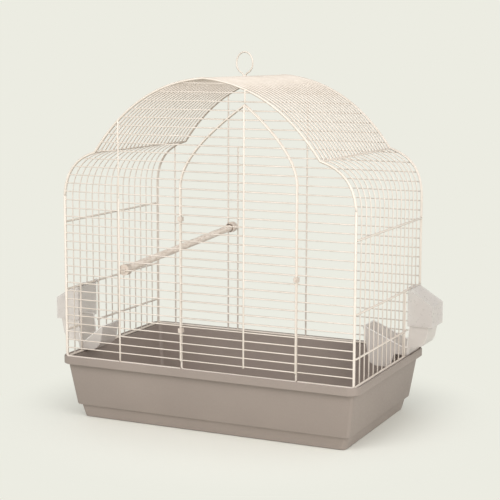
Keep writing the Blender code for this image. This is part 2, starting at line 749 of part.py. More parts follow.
def build_hood(material, word):
    """A clear hood over the spout, whose sleeves turn round the side's middle rail."""
    x_sign = -1 if word == "left" else 1
    y = FEEDER_MIDDLE_Y[word]
    half_y = CUP_HALF_Y + HOOD_SIDE_GAP + HOOD_WALL
    top = SIDE_MIDDLE_RAIL + HOOD_TOP_UP
    shell = ((HOOD_OUT, HOOD_LOW), (HOOD_OUT, HOOD_EAVE), (HOOD_RIDGE, top), (HOOD_BACK, top))
    outer = Shape()
    outer.prism(beside(shell + ((HOOD_BACK, HOOD_LOW),), x_sign), y - half_y, y + half_y)
    hood = outer.made("feeder_hood_" + word, material)
    inside = inner_line(shell, HOOD_WALL)
    past = HOOD_LOW / 2.0
    inside = [(inside[0][0], past)] + inside[:-1] + [(-HOOD_BACK, inside[-1][1]), (-HOOD_BACK, past)]
    inner = Shape()
    inner.prism(beside(inside, x_sign), y - half_y + HOOD_WALL, y + half_y - HOOD_WALL)
    cut(hood, inner, "hollow")
    axis_x, axis_z = x_sign * (BODY_HALF_X + SIDE_RAIL_OUT), up(SIDE_MIDDLE_RAIL)
    sleeves, tabs, bores = Shape(), Shape(), Shape()
    for middle in (bay_middle(y - HOOD_SLEEVE_OUT), bay_middle(y + HOOD_SLEEVE_OUT)):
        low, high = middle - HOOD_SLEEVE_LONG / 2.0, middle + HOOD_SLEEVE_LONG / 2.0
        sleeves.tube((axis_x, low, axis_z), (axis_x, high, axis_z), HOOD_SLEEVE_R, SLEEVE_SIDES)
        ends = sorted((axis_x, x_sign * (BODY_HALF_X + HOOD_RIDGE)))
        tabs.box((ends[0], low, up(top) - HOOD_WALL), (ends[1], high, up(top)))
        bores.tube((axis_x, low - HOOD_WALL, axis_z), (axis_x, high + HOOD_WALL, axis_z), RAIL_R + SLEEVE_GAP,
                   SLEEVE_SIDES)
    weld(hood, tabs, "tabs")
    weld(hood, sleeves, "sleeves")
    cut(hood, bores, "bores")
    set_origin(hood, (axis_x, y, axis_z))
    return hood


def perch_ends():
    front = Vector((PERCH_FRONT_X, FRONT_Y, up(front_row_z(PERCH_FRONT_ROW))))
    back = Vector((PERCH_BACK_X, BACK_Y, up(back_row_z(PERCH_BACK_ROW))))
    return front, back


def build_perch(material):
    front, back = perch_ends()
    way = (back - front).normalized()
    lean = math.hypot(way.x, way.z) / way.y
    inset = ROW_SIDE / 2.0 + SEAT_GAP + CAP_FLOOR + SEAT_GAP + PERCH_R * lean
    shape = Shape()
    shape.tube(front + way * (inset / way.y), back - way * (inset / way.y), PERCH_R,
               PERCH_SIDES)
    return shape.made("perch", material)


def build_perch_cap(material, name, centre, inward):
    """A cap on the perch's end, whose two lips sit above and below one row of the grille."""
    front, back = perch_ends()
    way = (back - front) / (back.y - front.y)
    near = centre.y + inward * (ROW_SIDE / 2.0 + SEAT_GAP)
    far = near + inward * CAP_LONG
    bore_r = PERCH_R + CAP_BORE_GAP
    body = Shape()
    body.tube((centre.x, near, centre.z), (centre.x, far, centre.z), bore_r + CAP_WALL,
              PERCH_SIDES)
    cap = body.made(name, material)
    lips = Shape()
    for side in (-1, 1):
        inner_z = centre.z + side * (ROW_SIDE / 2.0 + SEAT_GAP)
        low, high = sorted((inner_z, inner_z + side * CAP_LIP_THICK))
        ends = sorted((near + inward * CAP_FLOOR / 2.0, centre.y - inward * (ROW_SIDE / 2.0 + CAP_LIP_PAST)))
        lips.box((centre.x - CAP_LIP_HALF, ends[0], low), (centre.x + CAP_LIP_HALF, ends[1], high))
    weld(cap, lips, "lips")
    middle = centre + way * ((near + far + inward * CAP_FLOOR) / 2.0 - centre.y)
    bore = Shape()
    bore.tube((middle.x, near + inward * CAP_FLOOR, middle.z), (middle.x, far + inward * CAP_LONG, middle.z), bore_r,
              PERCH_SIDES)
    cut(cap, bore, "bore")
    return cap


def main():
    clear_scene()
    cream = make_material("cream_wire", (0.88, 0.83, 0.74), 0.4)
    taupe = make_material("taupe_plastic", (0.36, 0.30, 0.25), 0.45)
    clear = make_material("clear_plastic", (0.75, 0.76, 0.74), 0.15, alpha=0.5)
    white = make_material("cup_plastic", (0.82, 0.81, 0.78), 0.35)
    clip = make_material("clip_plastic", (0.85, 0.82, 0.76), 0.4)
    dowel = make_material("perch_plastic", (0.78, 0.74, 0.68), 0.6)
    build_tray(taupe)
    for sign in (-1, 1):
        build_front_lower(cream, sign)
        build_front_upper(cream, sign)
    build_door_frame(cream)
    build_hinge_clip(clip, "door_hinge_clip_lower", HINGE_ROWS[0])
    build_hinge_clip(clip, "door_hinge_clip_upper", HINGE_ROWS[1])
    door = build_door(cream)
    catch = build_catch(clip)
    set_origin(catch, door.location / MM)
    catch.parent = door
    catch.location = (0.0, 0.0, 0.0)
    build_back(cream)
    for word in ("left", "right"):
        build_side(cream, word)
        build_shoulder(cream, word)
        build_cup(white, word)
        build_hood(clear, word)
    build_roof(cream)
    build_ring(cream)
    build_perch(dowel)
    front, back = perch_ends()
    build_perch_cap(clip, "perch_cap_front", front, 1.0)
    build_perch_cap(clip, "perch_cap_back", back, -1.0)


main()
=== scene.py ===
"""Looks for the bird cage: coated round wire, moulded plastic, a rough perch, light, floor and camera.

Sizes are in millimetres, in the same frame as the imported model, and heights marked "above the rim"
count from the top of the tray's lip.
"""
import math

import bpy
import mathutils
from mathutils import Matrix, Vector


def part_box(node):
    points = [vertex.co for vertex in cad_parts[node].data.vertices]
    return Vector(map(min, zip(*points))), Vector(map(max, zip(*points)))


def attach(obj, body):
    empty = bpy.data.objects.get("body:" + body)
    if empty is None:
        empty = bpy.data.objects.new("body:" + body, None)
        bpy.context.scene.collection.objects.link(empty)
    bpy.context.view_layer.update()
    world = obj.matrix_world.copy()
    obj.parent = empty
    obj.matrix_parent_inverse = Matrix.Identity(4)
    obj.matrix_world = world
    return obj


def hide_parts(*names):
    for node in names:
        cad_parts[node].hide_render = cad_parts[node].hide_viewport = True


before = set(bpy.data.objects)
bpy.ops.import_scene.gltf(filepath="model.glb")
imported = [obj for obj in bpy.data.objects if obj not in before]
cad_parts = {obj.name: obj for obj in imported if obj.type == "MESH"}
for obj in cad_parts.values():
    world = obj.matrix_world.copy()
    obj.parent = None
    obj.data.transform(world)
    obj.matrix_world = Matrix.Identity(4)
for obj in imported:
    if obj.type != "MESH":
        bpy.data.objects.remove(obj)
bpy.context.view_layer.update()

MM = 0.001

# The wire body and its wires: _R stands for a radius, and HIGH for the front's upper panels
BODY_HALF_X = 250.0
BODY_HALF_Y = 155.0
RIM_TOP = 105.0
LIP_HIGH = 4.0
GAP = 0.3
POST_R = 2.0
DOOR_FRAME_R = 1.5
LEAF_R = 1.4
KINK_ROD_R = 0.95
RAIL_R = 1.6
STILE_R = 1.6
ROW_R = 0.95
HIGH_ROW_R = 0.85
UPRIGHT_R = 1.4
HIGH_UPRIGHT_R = 1.1
SIDE_WIRE_R = 1.0
ROOF_WIRE_R = 1.3
UPRIGHT_OUT = 1.7
BASE_Z = RIM_TOP - LIP_HIGH + GAP + POST_R
FRONT_Y = -BODY_HALF_Y
BACK_Y = BODY_HALF_Y

# Outline above the rim
SIDE_STRAIGHT_TOP = 255.0
SHOULDER_PULL_Z = 318.0
KINK_HALF_X = 192.5
KINK_Z = 334.0
DOME_PULL_X = 118.0
DOME_PULL_Z = 444.0
APEX_Z = 453.0

# Rows and uprights above the rim
FRONT_PITCH = 13.5
BACK_PITCH = 15.8
BACK_FIRST = 11.5
FRONT_UPRIGHT_X = -149.0
BACK_UPRIGHTS_X = (-215.0, -108.0, 43.0)
BACK_SHORT_X = -89.0
BACK_SHORT_TOP = 325.0
PANEL_SPLIT_Z = 263.0

# Pointed door above the rim, with the leaf in front of its frame
DOOR_LEFT_X = -38.5
DOOR_RIGHT_X = 157.0
DOOR_APEX_X = 71.0
DOOR_APEX_Z = 414.0
DOOR_SPRING_LEFT_Z = 290.0
DOOR_SPRING_RIGHT_Z = 300.0
DOOR_PULL_IN = 5.0
DOOR_PULL_UP_LEFT = 52.0
DOOR_PULL_UP_RIGHT = 50.0
LEAF_Y = FRONT_Y - DOOR_FRAME_R - GAP - LEAF_R
LEAF_TAIL = 1.5
LEAF_LOW_Z = RIM_TOP + FRONT_PITCH - LEAF_TAIL
LEAF_SHORTEST_ROW = 14.0
POINT_CLEAR = 3.4
SPLIT_X = 74.3

# Sides and roof: SIDE_TOP is where the side wires end under the kink, as X and height above the rim
SIDE_BAYS = 15
ROOF_BAYS = 23
SIDE_END_Y = 151.8
SIDE_RAIL_OUT = 2.0
SIDE_LOW_RAIL = 42.0
SIDE_MIDDLE_RAIL = 109.0
SIDE_HIGH_RAIL = 220.0
SIDE_TOP = (195.3, 333.2)
STILE_OUT = 28.1
STILE_CLEARED = 33.6
FEEDER_MIDDLE_Y = {"left": -83.0, "right": 107.0}

# Round wire: faces round it, how its rounded ends stand out and narrow, as shares of the radius, and the
# least cosine of half a bend that still widens the wire there
WIRE_SIDES = 10
WIRE_END_OUT = 0.45
WIRE_END_NARROW = 0.8
SHARPEST_BEND = 0.5

# How far wires and rows end before what they meet, and where no row is drawn
SPLIT_END_BACK = 1.0
BASE_END_BACK = 1.2
OUTLINE_END_BACK = 0.8
OUTLINE_CLEAR = 2.0
ROW_END_BACK = 0.6
ROW_SPARE = 0.2
ROW_SEARCH_STEP = 0.25
SPLIT_ROW_CLEAR = 2.0
TOP_ROW_CLEAR = 4.0
UPPER_SHORTEST_ROW = 3.0

# Steps along the bent wires
SHOULDER_STEPS = 12
DOME_STEPS = 18
ARCH_STEPS = 16

# The base wire's bend at a corner: its reach and what it cuts off
CORNER_BEND = 3.0
CORNER_CUT = 0.9

# Welds where wires cross: how far they stand back from the wire's line, and half sizes along X, Y and Z
POST_WELD_BACK = 1.4
POST_WELD = (1.7, 1.5, 1.4)
OUTLINE_WELD_BACK = 1.2
OUTLINE_WELD = (1.9, 1.5, 1.4)
BACK_WELD_BACK = 1.3
BACK_WELD = (1.8, 1.5, 1.4)
LEAF_WELD_BACK = 1.0
LEAF_WELD = (1.5, 1.2, 1.3)
UPRIGHT_WELD = (2.1, 1.15, 1.5)
RAIL_WELD_OUT = 0.9
RAIL_WELD = (1.2, 1.8, 2.2)
STILE_WELD_OUT = 0.8
STILE_WELD = (1.9, 2.2, 2.2)
ROOF_WELD_UP = 1.1
ROOF_WELD_SHARE = 0.992
ROOF_WELD = (1.1, 1.3, 0.8)
BEAD_SIDES = 8
BEAD_LEVELS = 4


def up(height):
    """A height above the rim, counted from the ground."""
    return RIM_TOP + height


def bend(start, pull, end, steps):
    """Points of a curve that leaves `start` towards `pull` and reaches `end` from it."""
    found = []
    for i in range(steps + 1):
        t = i / steps
        a, b, c = (1 - t) ** 2, 2 * t * (1 - t), t * t
        found.append(tuple(a * p + b * q + c * r for p, q, r in zip(start, pull, end)))
    return found


def shoulder_line():
    start = (BODY_HALF_X, SIDE_STRAIGHT_TOP)
    return bend(start, (BODY_HALF_X, SHOULDER_PULL_Z), (KINK_HALF_X, KINK_Z), SHOULDER_STEPS)


def dome_line():
    return bend((KINK_HALF_X, KINK_Z), (DOME_PULL_X, DOME_PULL_Z), (0.0, APEX_Z), DOME_STEPS)


def outline():
    """Front and back outline above the straight sides, from left to right."""
    half = shoulder_line() + dome_line()[1:]
    return [(-x, z) for x, z in half] + [(x, z) for x, z in reversed(half[:-1])]


def between(points, value, given, wanted):
    """The `wanted` coordinate where a line of points passes a value of the `given` one, or None."""
    for a, b in zip(points, points[1:]):
        if min(a[given], b[given]) <= value <= max(a[given], b[given]) and a[given] != b[given]:
            return a[wanted] + (b[wanted] - a[wanted]) * (value - a[given]) / (b[given] - a[given])
    return None


def outline_half_width(height):
    """Half the width of front and back at a height above the rim."""
    if height <= SIDE_STRAIGHT_TOP:
        return BODY_HALF_X
    return between(shoulder_line() + dome_line()[1:], height, 1, 0)


def outline_height(x):
    """The outline's height above the rim over a place across the cage."""
    return between(shoulder_line() + dome_line()[1:], abs(x), 0, 1)


def distance_to(points, x, z):
    """How far a place is from a line of points."""
    best = math.inf
    for (x0, z0), (x1, z1) in zip(points, points[1:]):
        dx, dz = x1 - x0, z1 - z0
        share = max(0.0, min(1.0, ((x - x0) * dx + (z - z0) * dz) / (dx * dx + dz * dz)))
        best = min(best, math.hypot(x - x0 - share * dx, z - z0 - share * dz))
    return best


def arch():
    """The left and the right curve of the pointed doorway, each from its spring line to the apex."""
    apex = (DOOR_APEX_X, DOOR_APEX_Z)
    left = bend((DOOR_LEFT_X, DOOR_SPRING_LEFT_Z),
                (DOOR_LEFT_X + DOOR_PULL_IN, DOOR_SPRING_LEFT_Z + DOOR_PULL_UP_LEFT), apex, ARCH_STEPS)
    right = bend((DOOR_RIGHT_X, DOOR_SPRING_RIGHT_Z),
                 (DOOR_RIGHT_X - DOOR_PULL_IN, DOOR_SPRING_RIGHT_Z + DOOR_PULL_UP_RIGHT), apex, ARCH_STEPS)
    return left, right


class Mesh:
    """Corners and faces in millimetres, gathered into one piece."""

    def __init__(self):
        self.points = []
        self.faces = []

    def add(self, points, faces):
        start = len(self.points)
        self.points += [tuple(p) for p in points]
        self.faces += [tuple(start + i for i in face) for face in faces]

    def wire(self, path, radius, closed=False, sides=WIRE_SIDES):
        """Round wire along a path, with rounded ends."""
        path = [Vector(p) for p in path]
        count = len(path)
        ways = []
        for i, here in enumerate(path):
            before = path[i - 1] if closed or i else here
            after = path[(i + 1) % count] if closed or i + 1 < count else here
            way_in = (here - before).normalized() if before is not here else (after - here).normalized()
            way_out = (after - here).normalized() if after is not here else way_in
            along = (way_in + way_out).normalized()
            ways.append((along, 1.0 / max(SHARPEST_BEND, along.dot(way_out))))
        # The first corner points along Y, or along X where the wire itself runs along Y
        side = Vector((0.0, 1.0, 0.0)) if abs(ways[0][0].y) < 0.9 else Vector((1.0, 0.0, 0.0))
        rings = []
        for i, (here, (along, stretch)) in enumerate(zip(path, ways)):
            side = (side - along * side.dot(along)).normalized()
            across = along.cross(side)
            turning = ways[(i + 1) % count][0] - along if i + 1 < count or closed else Vector()
            bend_way = (turning - along * turning.dot(along))
            bend_way = bend_way.normalized() if bend_way.length > 1e-6 else Vector()
            ring = []
            for k in range(sides):
                angle = 2.0 * math.pi * k / sides
                off = side * math.cos(angle) + across * math.sin(angle)
                off += bend_way * off.dot(bend_way) * (stretch - 1.0)
                ring.append(here + off * radius)
            rings.append((here, along, ring))
        points, faces = [], []
        if not closed:
            first, last = rings[0], rings[-1]
            out = radius * WIRE_END_OUT
            rings = [self.dome(first, -out)] + rings + [self.dome(last, out)]
        for here, along, ring in rings:
            points += ring
        total = len(rings)
        for i in range(total if closed else total - 1):
            a, b = i * sides, ((i + 1) % total) * sides
            for k in range(sides):
                n = (k + 1) % sides
                faces.append((a + k, a + n, b + n, b + k))
        if not closed:
            faces.append(tuple(reversed(range(sides))))
            faces.append(tuple((total - 1) * sides + k for k in range(sides)))
        self.add(points, faces)

    def dome(self, ring, forward):
        """A narrower ring a little further on, for a wire's rounded end."""
        here, along, corners = ring
        moved = [here + along * forward + (p - here) * WIRE_END_NARROW for p in corners]
        return here, along, moved

    def bead(self, centre, half):
        """A small rounded lump, for the weld where two wires cross."""
        centre = Vector(centre)
        half_x, half_y, half_z = half
        around, tall = BEAD_SIDES, BEAD_LEVELS
        points = [centre + Vector((0.0, 0.0, -half_z))]
        for j in range(1, tall):
            level = math.pi * j / tall
            for k in range(around):
                angle = 2.0 * math.pi * k / around
                points.append(centre + Vector((half_x * math.sin(level) * math.cos(angle),
                                               half_y * math.sin(level) * math.sin(angle),
                                               -half_z * math.cos(level))))
        points.append(centre + Vector((0.0, 0.0, half_z)))
        faces = []
        for k in range(around):
            n = (k + 1) % around
            faces.append((0, 1 + n, 1 + k))
            for j in range(tall - 2):
                a, b = 1 + j * around, 1 + (j + 1) * around
                faces.append((a + k, a + n, b + n, b + k))
            top = 1 + (tall - 2) * around
            faces.append((top + k, top + n, len(points) - 1))
        self.add(points, faces)

    def rings(self, rings):
        """A solid through rings of equally many points, closed at both ends."""
        count = len(rings[0])
        points = [p for ring in rings for p in ring]
        faces = []
        for i in range(len(rings) - 1):
            for k in range(count):
                n = (k + 1) % count
                faces.append((i * count + k, i * count + n, (i + 1) * count + n, (i + 1) * count + k))
        faces.append(tuple(reversed(range(count))))
        faces.append(tuple((len(rings) - 1) * count + k for k in range(count)))
        self.add(points, faces)

    def prism(self, outline_points, low_y, high_y):
        """A solid with a flat outline of (x, z) points, from one depth to another."""
        count = len(outline_points)
        points = [(x, low_y, z) for x, z in outline_points] + [(x, high_y, z) for x, z in outline_points]
        faces = [tuple(range(count)), tuple(reversed(range(count, 2 * count)))]
        for i in range(count):
            n = (i + 1) % count
            faces.append((i, i + count, n + count, n))
        self.add(points, faces)

    def made(self, name):
        """The gathered mesh as a smooth piece, with its faces outward."""
        data = bpy.data.meshes.new(name)
        data.from_pydata([(x * MM, y * MM, z * MM) for x, y, z in self.points], [], self.faces)
        volume = 0.0
        for polygon in data.polygons:
            corners = [data.vertices[i].co for i in polygon.vertices]
            for i in range(1, len(corners) - 1):
                volume += corners[0].dot(corners[i].cross(corners[i + 1]))
        if volume < 0.0:
            data.flip_normals()
        data.polygons.foreach_set("use_smooth", [True] * len(data.polygons))
        piece = bpy.data.objects.new(name, data)
        bpy.context.scene.collection.objects.link(piece)
        return piece


def dress(piece, body, material, *nodes):
    """Gives a piece its material, lets it ride on a body and stand for its CAD nodes."""
    piece.data.materials.append(material)
    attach(piece, body)
    if nodes:
        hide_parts(*nodes)
    return piece


def soften(piece, width, segments, angle):
    """Rounds a piece's sharp edges by a width in millimetres."""
    step = piece.modifiers.new("rounded", "BEVEL")
    step.width = width * MM
    step.segments = segments
    step.limit_method = "ANGLE"
    step.angle_limit = math.radians(angle)
    step.harden_normals = True
    step.use_clamp_overlap = True
    return piece


# Noise lies mostly between these two values
NOISE_RANGE = (0.3, 0.7)


class Shader:
    """A short way to write a material's nodes."""

    def __init__(self, name, slot):
        self.material = bpy.data.materials.new(name)
        self.material.use_nodes = True
        self.material["slot"] = slot
        self.tree = self.material.node_tree
        self.main = self.tree.nodes["Principled BSDF"]
        self.place = self.node("ShaderNodeTexCoord").outputs["Object"]

    def node(self, kind, **values):
        made = self.tree.nodes.new(kind)
        for name, value in values.items():
            setattr(made, name, value)
        return made

    def link(self, source, target):
        self.tree.links.new(source, target)

    def set(self, **values):
        for name, value in values.items():
            self.main.inputs[name.replace("_", " ")].default_value = value

    def noise(self, scale, detail=3.0, stretch=(1.0, 1.0, 1.0)):
        """Noise whose features are about `scale` millimetres wide."""
        place = self.place
        if stretch != (1.0, 1.0, 1.0):
            mapping = self.node("ShaderNodeMapping")
            mapping.inputs["Scale"].default_value = stretch
            self.link(place, mapping.inputs["Vector"])
            place = mapping.outputs["Vector"]
        made = self.node("ShaderNodeTexNoise")
        made.inputs["Scale"].default_value = 1.0 / (scale * MM)
        made.inputs["Detail"].default_value = detail
        self.link(place, made.inputs["Vector"])
        return made.outputs["Fac"]

    def ramp(self, value, stops):
        """A value turned into colours: (position, colour) pairs."""
        made = self.node("ShaderNodeValToRGB")
        ramp = made.color_ramp
        while len(ramp.elements) < len(stops):
            ramp.elements.new(0.5)
        for element, (position, colour) in zip(ramp.elements, stops):
            element.position = position
            element.color = (*colour, 1.0)
        self.link(value, made.inputs["Fac"])
        return made.outputs["Color"]

    def spread(self, value, low, high):
        """Noise turned into values between low and high."""
        made = self.node("ShaderNodeMapRange")
        made.inputs["From Min"].default_value = NOISE_RANGE[0]
        made.inputs["From Max"].default_value = NOISE_RANGE[1]
        made.inputs["To Min"].default_value = low
        made.inputs["To Max"].default_value = high
        self.link(value, made.inputs["Value"])
        return made.outputs["Result"]

    def multiply(self, first, second):
        made = self.node("ShaderNodeMix", data_type="RGBA", blend_type="MULTIPLY")
        made.inputs["Factor"].default_value = 1.0
        self.link(first, made.inputs["A"])
        self.link(second, made.inputs["B"])
        return made.outputs["Result"]

    def bump(self, height, strength, depth):
        """A bump `depth` millimetres deep."""
        made = self.node("ShaderNodeBump")
        made.inputs["Strength"].default_value = strength
        made.inputs["Distance"].default_value = depth * MM
        self.link(height, made.inputs["Height"])
        self.link(made.outputs["Normal"], self.main.inputs["Normal"])


# Colours: each is a place between 0 and 1 in a noise, and the colour there
COAT_COLOURS = ((0.3, (0.78, 0.705, 0.625)), (0.55, (0.82, 0.745, 0.67)), (0.8, (0.86, 0.79, 0.72)))
TRAY_COLOURS = ((0.3, (0.318, 0.266, 0.236)), (0.7, (0.341, 0.286, 0.254)))
TRAY_SPECKS = ((0.35, (0.93, 0.93, 0.93)), (0.6, (1.0, 1.0, 1.0)))
CLIP_COLOURS = ((0.3, (0.64, 0.555, 0.485)), (0.7, (0.70, 0.615, 0.545)))
CLOUDY_SHARE = 0.97
ROUGH_SHARES = (0.85, 1.2)
# Perch colours from its hollows to its knobs: the darker hollows are painted shade
PERCH_COLOURS_WITH_HOLLOW_SHADE = ((0.32, (0.66, 0.56, 0.48)), (0.5, (0.80, 0.71, 0.63)), (0.68, (0.86, 0.785, 0.71)))

# The coat's tint by how far it faces up, from the first value of FACES_UP to the second: painted shade
# darkens its underside, the sides keep full colour, and it is a little darker where it faces straight up
FACES_UP = (-0.75, 1.0)
PAINTED_SHADE_BELOW = (0.60, 0.57, 0.54)
FULL_TINT = (1.0, 1.0, 1.0)
FACING_UP_TINT = (0.88, 0.865, 0.85)
PAINTED_SHADE_BY_FACING = ((0.0, PAINTED_SHADE_BELOW), (0.4, FULL_TINT), (0.6, FULL_TINT), (1.0, FACING_UP_TINT))


def wire_coat():
    """Cream powder coat on wire: a faint orange peel, pinker in places, with painted shade below and a
    little darker where it faces up.
    """
    coat = Shader("cream_wire", "cream_wire")
    colour = coat.ramp(coat.noise(22.0), COAT_COLOURS)
    parts = coat.node("ShaderNodeSeparateXYZ")
    coat.link(coat.node("ShaderNodeNewGeometry").outputs["Normal"], parts.inputs["Vector"])
    upward = coat.node("ShaderNodeMapRange")
    upward.inputs["From Min"].default_value = FACES_UP[0]
    upward.inputs["From Max"].default_value = FACES_UP[1]
    coat.link(parts.outputs["Z"], upward.inputs["Value"])
    # Painted shade: the coat's colour darkens where its surface faces down, and a little where it faces
    # straight up
    painted_shade = coat.ramp(upward.outputs["Result"], PAINTED_SHADE_BY_FACING)
    coat.link(coat.multiply(colour, painted_shade), coat.main.inputs["Base Color"])
    coat.link(coat.spread(coat.noise(6.0), low=0.34, high=0.5), coat.main.inputs["Roughness"])
    coat.bump(coat.noise(0.7, detail=2.0), strength=0.25, depth=0.08)
    coat.set(Coat_Weight=0.15, Coat_Roughness=0.25)
    return coat.material


def tray_plastic():
    """Taupe moulded plastic with a fine spark texture and faint flow clouds."""
    plastic = Shader("taupe_plastic", "taupe_plastic")
    clouds = plastic.ramp(plastic.noise(90.0, detail=4.0), TRAY_COLOURS)
    specks = plastic.ramp(plastic.noise(0.9, detail=2.0), TRAY_SPECKS)
    plastic.link(plastic.multiply(clouds, specks), plastic.main.inputs["Base Color"])
    plastic.link(plastic.spread(plastic.noise(3.0), low=0.42, high=0.56), plastic.main.inputs["Roughness"])
    plastic.bump(plastic.noise(0.6), strength=0.3, depth=0.05)
    return plastic.material


def clear_plastic(name, slot, colour, transmission, alpha, roughness):
    """See-through moulded plastic, a little cloudy and unevenly rough."""
    plastic = Shader(name, slot)
    cloudy = tuple(part * CLOUDY_SHARE for part in colour)
    tint = plastic.ramp(plastic.noise(18.0), list(zip(NOISE_RANGE, (cloudy, colour))))
    plastic.link(tint, plastic.main.inputs["Base Color"])
    smooth, rough = (roughness * share for share in ROUGH_SHARES)
    plastic.link(plastic.spread(plastic.noise(4.0), smooth, rough), plastic.main.inputs["Roughness"])
    plastic.bump(plastic.noise(5.0, detail=1.0), strength=0.15, depth=0.2)
    plastic.set(Transmission_Weight=transmission, Alpha=alpha, IOR=1.46)
    return plastic.material


def clip_plastic():
    """Moulded plastic of the clips, the catch and the perch's caps."""
    plastic = Shader("clip_plastic", "clip_plastic")
    tint = plastic.ramp(plastic.noise(5.0), CLIP_COLOURS)
    plastic.link(tint, plastic.main.inputs["Base Color"])
    plastic.link(plastic.spread(plastic.noise(1.5), low=0.35, high=0.5), plastic.main.inputs["Roughness"])
    plastic.bump(plastic.noise(0.5), strength=0.2, depth=0.04)
    return plastic.material


def perch_plastic():
    """A rough cream perch, with painted shade in its hollows."""
    plastic = Shader("perch_plastic", "perch_plastic")
    grain = plastic.noise(3.2, detail=4.0, stretch=(1.0, 0.35, 1.0))
    # Painted shade: the noise that shapes the bumps also darkens their hollows
    tint = plastic.ramp(grain, PERCH_COLOURS_WITH_HOLLOW_SHADE)
    plastic.link(tint, plastic.main.inputs["Base Color"])
    plastic.set(Roughness=0.7)
    plastic.bump(grain, strength=0.6, depth=0.5)
    return plastic.material


CREAM = wire_coat()
TAUPE = tray_plastic()
HOOD_CLEAR = clear_plastic("clear_plastic", "clear_plastic", (0.81, 0.765, 0.735),
                           transmission=0.08, alpha=0.62, roughness=0.3)
CUP_WHITE = clear_plastic("cup_plastic", "cup_plastic", (0.84, 0.79, 0.75),
                          transmission=0.08, alpha=0.72, roughness=0.35)
CUP_EDGE = clear_plastic("cup_edge", "cup_plastic", (0.96, 0.93, 0.90),
                         transmission=0.0, alpha=1.0, roughness=0.35)
CLIP = clip_plastic()
PERCH = perch_plastic()


def wire_y(k, bays):
    """Where wire number k stands between front and back, with this many bays between the wires."""
    return -SIDE_END_Y + 2.0 * SIDE_END_Y * k / bays


def row(mesh, x0, x1, y, z, radius=ROW_R):
    """A level wire from side to side."""
    mesh.wire(((x0, y, z), ((x0 + x1) / 2.0, y, z), (x1, y, z)), radius)


def upright(mesh, x, y, out, low_z, high_z, row_heights, radius=UPRIGHT_R):
    """An upright welded over the rows, with a bead at each crossing."""
    mesh.wire(((x, y + out * UPRIGHT_OUT, low_z), (x, y + out * UPRIGHT_OUT, high_z)), radius)
    for z in row_heights:
        if low_z < z < high_z:
            mesh.bead((x, y + out * UPRIGHT_OUT / 2.0, z), UPRIGHT_WELD)


def front_rows(first, last):
    """Heights of the front's rows above the ground, from one number to another."""
    return [up(k * FRONT_PITCH) for k in range(first, last + 1)]


def corner(x, inward, y):
    """The base wire's bend into an upright at x, from the side that `inward` points to."""
    return [(x + inward * CORNER_BEND, y, BASE_Z), (x + inward * CORNER_CUT, y, BASE_Z + CORNER_CUT),
            (x, y, BASE_Z + CORNER_BEND)]


def front_lower(sign):
    """The front beside the doorway below the split: base wire, corner post and rows."""
    word = "left" if sign < 0 else "right"
    door_x = DOOR_LEFT_X if sign < 0 else DOOR_RIGHT_X
    near = door_x + sign * (DOOR_FRAME_R + GAP)
    post_x = sign * BODY_HALF_X
    mesh = Mesh()
    top = up(PANEL_SPLIT_Z) - SPLIT_END_BACK
    foot = [(near + sign * BASE_END_BACK, FRONT_Y, BASE_Z)] + corner(post_x, -sign, FRONT_Y)
    mesh.wire(foot + [(post_x, FRONT_Y, top)], POST_R)
    rows = front_rows(1, int((PANEL_SPLIT_Z - SPLIT_ROW_CLEAR) // FRONT_PITCH))
    for z in rows:
        row(mesh, near + sign * ROW_END_BACK, post_x, FRONT_Y, z)
        mesh.bead((post_x - sign * POST_WELD_BACK, FRONT_Y, z), POST_WELD)
    if sign < 0:
        upright(mesh, FRONT_UPRIGHT_X, FRONT_Y, -1.0, BASE_Z, top, rows)
    dress(mesh.made("front_%s_wires" % word), "cage", CREAM, "front_%s_panel" % word)


def row_end(curve, height, sign):
    """Where a row beside the doorway ends, clear of the doorway's wire."""
    clear = DOOR_FRAME_R + GAP + ROW_R + ROW_SPARE
    stop = SPLIT_X + sign * GAP
    x = outline_half_width(height) * sign
    leg = [(curve[0][0], 0.0)] + curve
    while sign * (x - stop) > 0.0:
        if distance_to(leg, x, height) < clear:
            return x + sign * ROW_SEARCH_STEP
        x -= sign * ROW_SEARCH_STEP
    return stop


def front_upper(sign):
    """The front beside the pointed doorway above the split, up to the outline's top."""
    word = "left" if sign < 0 else "right"
    end_x = SPLIT_X + sign * OUTLINE_END_BACK
    foot = up(PANEL_SPLIT_Z + GAP) + SPLIT_END_BACK
    path = []
    for x, z in outline():
        if sign * (x - end_x) > OUTLINE_CLEAR and up(z) > foot + OUTLINE_CLEAR:
            path.append((x, FRONT_Y, up(z)))
    foot_end = [(sign * BODY_HALF_X, FRONT_Y, foot)]
    door_end = [(end_x, FRONT_Y, up(outline_height(end_x)))]
    mesh = Mesh()
    mesh.wire(foot_end + path + door_end if sign < 0 else door_end + path + foot_end, POST_R)
    curve = arch()[0 if sign < 0 else 1]
    first = int(PANEL_SPLIT_Z // FRONT_PITCH) + 1
    rows = front_rows(first, int((APEX_Z - TOP_ROW_CLEAR) // FRONT_PITCH))
    for z in rows:
        far = sign * outline_half_width(z - RIM_TOP)
        near = row_end(curve, z - RIM_TOP, sign)
        if sign < 0:
            near = min(near, -far)
        if sign * (far - near) > UPPER_SHORTEST_ROW:
            row(mesh, near, far, FRONT_Y, z, HIGH_ROW_R)
            mesh.bead((far - sign * OUTLINE_WELD_BACK, FRONT_Y, z), OUTLINE_WELD)
    if sign < 0:
        top = up(outline_height(FRONT_UPRIGHT_X))
        upright(mesh, FRONT_UPRIGHT_X, FRONT_Y, -1.0, foot, top, rows, HIGH_UPRIGHT_R)
        low, high = up(DOOR_APEX_Z + POINT_CLEAR), up(outline_height(DOOR_APEX_X))
        upright(mesh, DOOR_APEX_X, FRONT_Y, -1.0, low, high, rows)
    dress(mesh.made("front_upper_%s_wires" % word), "cage", CREAM, "front_upper_%s_panel" % word)


def doorway_line(y):
    """The doorway's outline from its left spring line over its point to the right one."""
    left, right = arch()
    return [(x, y, up(z)) for x, z in left] + [(x, y, up(z)) for x, z in reversed(right[:-1])]


